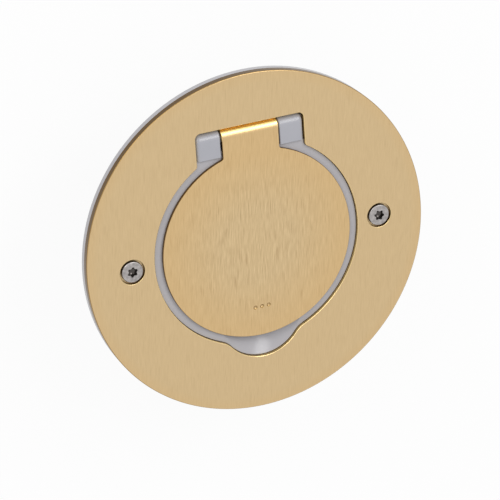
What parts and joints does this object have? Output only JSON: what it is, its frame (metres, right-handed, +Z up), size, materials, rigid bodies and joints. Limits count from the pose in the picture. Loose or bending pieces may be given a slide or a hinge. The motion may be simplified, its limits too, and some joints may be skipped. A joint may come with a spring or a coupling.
{
  "type": "round floor box",
  "caption": "Round flush floor box: brushed brass cover plate with a sprung hinged lid, finger scoop, grey frame, shuttered socket below and a moulded cup with a conduit entry.",
  "frame": {"origin": "centre of the box's flat base", "axes": "+Z up through the lid, +Y towards the lid's hinge, -Y towards the finger notch"},
  "size_m": [0.13, 0.13, 0.0492],
  "materials": {
    "brushed_brass": "brushed, satin",
    "frame_grey": "fine satin moulding",
    "box_grey": "plain moulding",
    "seal_foam": "closed-cell foam",
    "seal_rubber": "soft rubber",
    "screw_steel": "satin stainless",
    "pin_steel": "bright drawn",
    "insert_brass": "turned",
    "bush_white": "natural acetal",
    "spring_steel": "drawn wire",
    "socket_grey": "semi-gloss moulding",
    "base_black": "glass-filled moulding",
    "shutter_grey": "plain moulding",
    "contact_bronze": "rolled strip",
    "earth_nickel": "nickel-plated strip",
    "terminal_brass": "drawn bar"
  },
  "bodies": {
    "housing": {"flush_box": "box_grey", "floor_seal": "seal_foam", "support_frame": "frame_grey", "cover_plate": "brushed_brass", "left_hinge_cap": "frame_grey", "right_hinge_cap": "frame_grey", "hinge_pin": "pin_steel", "hinge_spring": "spring_steel", "left_cover_screw": "screw_steel", "right_cover_screw": "screw_steel", "left_screw_seal": "seal_rubber", "right_screw_seal": "seal_rubber", "left_threaded_insert": "insert_brass", "right_threaded_insert": "insert_brass", "cap_screws": "screw_steel", "socket_face": "socket_grey", "contact_base": "base_black", "base_cover": "base_black", "shutter_spring": "spring_steel", "socket_screws": "screw_steel", "base_screws": "screw_steel", "left_line_contact": "contact_bronze", "right_line_contact": "contact_bronze", "earth_strap": "earth_nickel", "left_terminal": "terminal_brass", "right_terminal": "terminal_brass", "earth_terminal": "terminal_brass", "terminal_screws": "screw_steel"},
    "lid": {"lid_plate": "brushed_brass", "lid_backing": "frame_grey", "lid_seal": "seal_rubber", "lid_nuts": "spring_steel", "left_hinge_bush": "bush_white", "right_hinge_bush": "bush_white"},
    "shutter_plate": {"shutter": "shutter_grey"}
  },
  "joints": [
    {"name": "lid_hinge", "type": "hinge", "parent": "housing", "child": "lid", "pos_m": [0, 0.0424, 0.0455], "axis": [-1, 0, 0], "range_deg": [0, 93], "stiffness_Nm_per_rad": 0.01, "springref_deg": -114.59, "deforming": ["hinge_spring"]},
    {"name": "shutter_turn", "type": "hinge", "parent": "housing", "child": "shutter_plate", "pos_m": [0, 0, 0.0215], "axis": [0, 0, 1], "range_deg": [0, 36], "stiffness_Nm_per_rad": 0.001, "springref_deg": -28.65, "deforming": ["shutter_spring"]}
  ]
}
